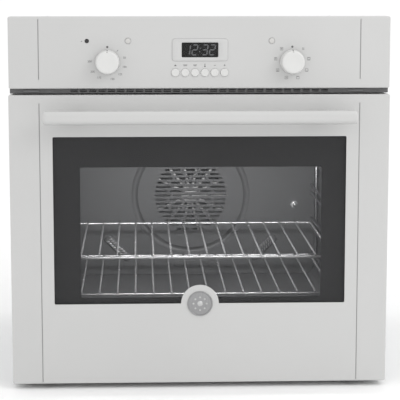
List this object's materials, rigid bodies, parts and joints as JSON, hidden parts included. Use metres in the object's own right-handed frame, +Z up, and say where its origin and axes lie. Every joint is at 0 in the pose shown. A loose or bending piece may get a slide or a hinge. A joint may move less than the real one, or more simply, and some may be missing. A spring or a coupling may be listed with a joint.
{
  "type": "wall oven",
  "caption": "Built-in wall oven with a drop-down glass door, bar handle, twin knobs, clock display with push buttons, wire shelves and fan-heated cavity.",
  "frame": {"origin": "centre of the underside of the chassis base plate", "axes": "+Z up, -Y out of the door towards the user, +X to the right seen from the front"},
  "size_m": [0.595, 0.615, 0.589],
  "materials": {
    "white_enamel": "smooth satin enamel",
    "handle_enamel": "gloss enamel",
    "white_plastic": "satin moulded",
    "door_glass": "tinted, with a black printed border",
    "inner_glass": "clear",
    "display_glass": "dark",
    "chrome_wire": "bright plated",
    "grey_enamel": "speckled gloss enamel",
    "galvanised_steel": "zinc coated",
    "brushed_steel": "brushed",
    "fan_aluminium": "mill finish",
    "heater_steel": "oxidised",
    "mineral_wool": "matt wool",
    "seal_rubber": "matt",
    "lamp_glass": "clear",
    "lens_plastic": "translucent",
    "black_plastic": "matt moulded",
    "module_plastic": "matt moulded"
  },
  "bodies": {
    "root": {"base_plate": "galvanised_steel", "side_panel_left": "galvanised_steel", "side_panel_right": "galvanised_steel", "top_cover": "galvanised_steel", "back_cover": "galvanised_steel", "front_frame": "galvanised_steel", "cavity_liner": "grey_enamel", "fan_baffle": "grey_enamel", "insulation": "mineral_wool", "door_seal": "seal_rubber", "side_rack_left": "chrome_wire", "side_rack_right": "chrome_wire", "grill_element": "heater_steel", "ring_element": "heater_steel", "bottom_element": "heater_steel", "thermostat_probe": "brushed_steel", "oven_lamp_holder": "brushed_steel", "oven_lamp_lens": "lamp_glass", "convection_motor": "galvanised_steel", "blower_housing": "galvanised_steel", "blower_motor": "black_plastic", "air_duct": "galvanised_steel", "air_outlet_grille": "black_plastic", "terminal_block": "black_plastic", "hinge_arm_left": "galvanised_steel", "hinge_arm_right": "galvanised_steel", "control_panel": "white_enamel", "control_bracket": "galvanised_steel", "timer_bezel": "white_plastic", "display_window": "display_glass", "timer_module": "module_plastic", "indicator_lens_1": "black_plastic", "indicator_lens_2": "lens_plastic", "indicator_lens_3": "lens_plastic", "thermostat_body": "black_plastic", "selector_switch_body": "black_plastic"},
    "door": {"door_front_panel": "white_enamel", "door_outer_glass": "door_glass", "door_inner_glass": "inner_glass", "door_inner_frame": "brushed_steel", "badge_disc": "brushed_steel", "handle_bar": "handle_enamel", "handle_bracket_left": "handle_enamel", "handle_bracket_right": "handle_enamel", "hinge_bracket_left": "galvanised_steel", "hinge_bracket_right": "galvanised_steel"},
    "thermostat_knob": {"thermostat_knob": "white_plastic", "thermostat_shaft": "brushed_steel"},
    "selector_knob": {"selector_knob": "white_plastic", "selector_shaft": "brushed_steel"},
    "wire_shelf_lower": {"wire_shelf_lower": "chrome_wire"},
    "wire_shelf_upper": {"wire_shelf_upper": "chrome_wire"},
    "convection_fan": {"convection_fan": "fan_aluminium"},
    "blower_wheel": {"blower_wheel": "fan_aluminium"},
    "timer_button_1": {"timer_button_1": "white_plastic"},
    "timer_button_2": {"timer_button_2": "white_plastic"},
    "timer_button_3": {"timer_button_3": "white_plastic"},
    "timer_button_4": {"timer_button_4": "white_plastic"},
    "timer_button_5": {"timer_button_5": "white_plastic"},
    "timer_button_6": {"timer_button_6": "white_plastic"}
  },
  "joints": [
    {"name": "door_hinge", "type": "hinge", "parent": "root", "child": "door", "pos_m": [0, -0.29, 0.02], "axis": [1, 0, 0], "range_deg": [0, 90], "stiffness_Nm_per_rad": 6, "springref_deg": -28.65},
    {"name": "thermostat_turn", "type": "hinge", "parent": "root", "child": "thermostat_knob", "pos_m": [-0.1435, -0.306, 0.519], "axis": [0, 1, 0], "range_deg": [0, 270]},
    {"name": "selector_turn", "type": "hinge", "parent": "root", "child": "selector_knob", "pos_m": [0.1435, -0.306, 0.519], "axis": [0, 1, 0], "continuous": true},
    {"name": "timer_button_1_press", "type": "slide", "parent": "root", "child": "timer_button_1", "axis": [0, 1, 0], "range_m": [0, 0.0012], "stiffness_N_per_m": 300, "springref_m": -0.001},
    {"name": "timer_button_2_press", "type": "slide", "parent": "root", "child": "timer_button_2", "axis": [0, 1, 0], "range_m": [0, 0.0012], "stiffness_N_per_m": 300, "springref_m": -0.001},
    {"name": "timer_button_3_press", "type": "slide", "parent": "root", "child": "timer_button_3", "axis": [0, 1, 0], "range_m": [0, 0.0012], "stiffness_N_per_m": 300, "springref_m": -0.001},
    {"name": "timer_button_4_press", "type": "slide", "parent": "root", "child": "timer_button_4", "axis": [0, 1, 0], "range_m": [0, 0.0012], "stiffness_N_per_m": 300, "springref_m": -0.001},
    {"name": "timer_button_5_press", "type": "slide", "parent": "root", "child": "timer_button_5", "axis": [0, 1, 0], "range_m": [0, 0.0012], "stiffness_N_per_m": 300, "springref_m": -0.001},
    {"name": "timer_button_6_press", "type": "slide", "parent": "root", "child": "timer_button_6", "axis": [0, 1, 0], "range_m": [0, 0.0012], "stiffness_N_per_m": 300, "springref_m": -0.001},
    {"name": "lower_shelf_slide", "type": "slide", "parent": "root", "child": "wire_shelf_lower", "axis": [0, -1, 0], "range_m": [0, 0.158]},
    {"name": "upper_shelf_slide", "type": "slide", "parent": "root", "child": "wire_shelf_upper", "axis": [0, -1, 0], "range_m": [0, 0.252]},
    {"name": "convection_fan_spin", "type": "hinge", "parent": "root", "child": "convection_fan", "pos_m": [0, 0.142, 0.247], "axis": [0, 1, 0], "continuous": true},
    {"name": "blower_spin", "type": "hinge", "parent": "root", "child": "blower_wheel", "pos_m": [0, 0.14, 0.446], "axis": [0, 0, 1], "continuous": true}
  ],
  "couplings": [
    {"joint": "lower_shelf_slide", "follows": "door_hinge", "m_per_rad": 0.1},
    {"joint": "upper_shelf_slide", "follows": "door_hinge", "m_per_rad": 0.16}
  ]
}
